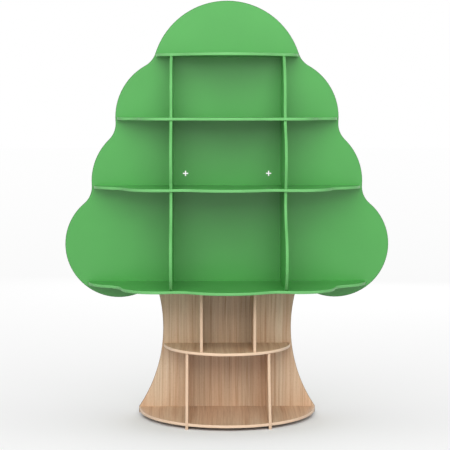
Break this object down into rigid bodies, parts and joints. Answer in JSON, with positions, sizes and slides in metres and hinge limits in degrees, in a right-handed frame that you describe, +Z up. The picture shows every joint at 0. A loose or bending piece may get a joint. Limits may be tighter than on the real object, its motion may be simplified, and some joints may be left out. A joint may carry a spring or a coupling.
{
  "type": "kids bookcase",
  "caption": "Tree-shaped bookcase for a child's room: a green cloud-outlined crown with scalloped shelves and uprights, on a flared oak trunk with half-round shelves and dividers.",
  "frame": {"origin": "on the floor, under the middle of the bounding box", "axes": "+Z up, +Y towards the wall behind, so the front with the shelf edges faces -Y; +X to the right of someone facing the front"},
  "size_m": [1.413, 0.425, 1.8],
  "materials": {
    "green_board": "matte green laminate on board",
    "green_edging": "satin green edge strip",
    "oak_board": "matte light oak laminate on board",
    "oak_edging": "satin pale oak edge strip",
    "screw_steel": "plain zinc-plated steel",
    "dowel_beech": "bare beech"
  },
  "bodies": {
    "root": {"crown_back_panel": "green_board", "crown_top_shelf": "green_board", "crown_second_shelf": "green_board", "crown_third_shelf": "green_board", "crown_bottom_shelf": "green_board", "crown_upright_left": "green_board", "crown_upright_right": "green_board", "crown_back_edging": "green_edging", "crown_top_shelf_edging": "green_edging", "crown_second_shelf_edging": "green_edging", "crown_third_shelf_edging": "green_edging", "crown_bottom_shelf_edging": "green_edging", "crown_upright_left_edging": "green_edging", "crown_upright_right_edging": "green_edging", "trunk_back_panel": "oak_board", "trunk_middle_shelf": "oak_board", "trunk_base_shelf": "oak_board", "trunk_upper_divider_left": "oak_board", "trunk_upper_divider_right": "oak_board", "trunk_lower_divider_left": "oak_board", "trunk_lower_divider_right": "oak_board", "trunk_back_edging": "oak_edging", "trunk_middle_shelf_edging": "oak_edging", "trunk_base_shelf_edging": "oak_edging", "trunk_upper_divider_left_edging": "oak_edging", "trunk_upper_divider_right_edging": "oak_edging", "trunk_lower_divider_left_edging": "oak_edging", "trunk_lower_divider_right_edging": "oak_edging", "crown_back_screws": "screw_steel", "trunk_back_screws": "screw_steel", "crown_upright_dowels": "dowel_beech", "trunk_divider_dowels": "dowel_beech", "crown_to_trunk_dowels": "dowel_beech"}
  },
  "joints": []
}
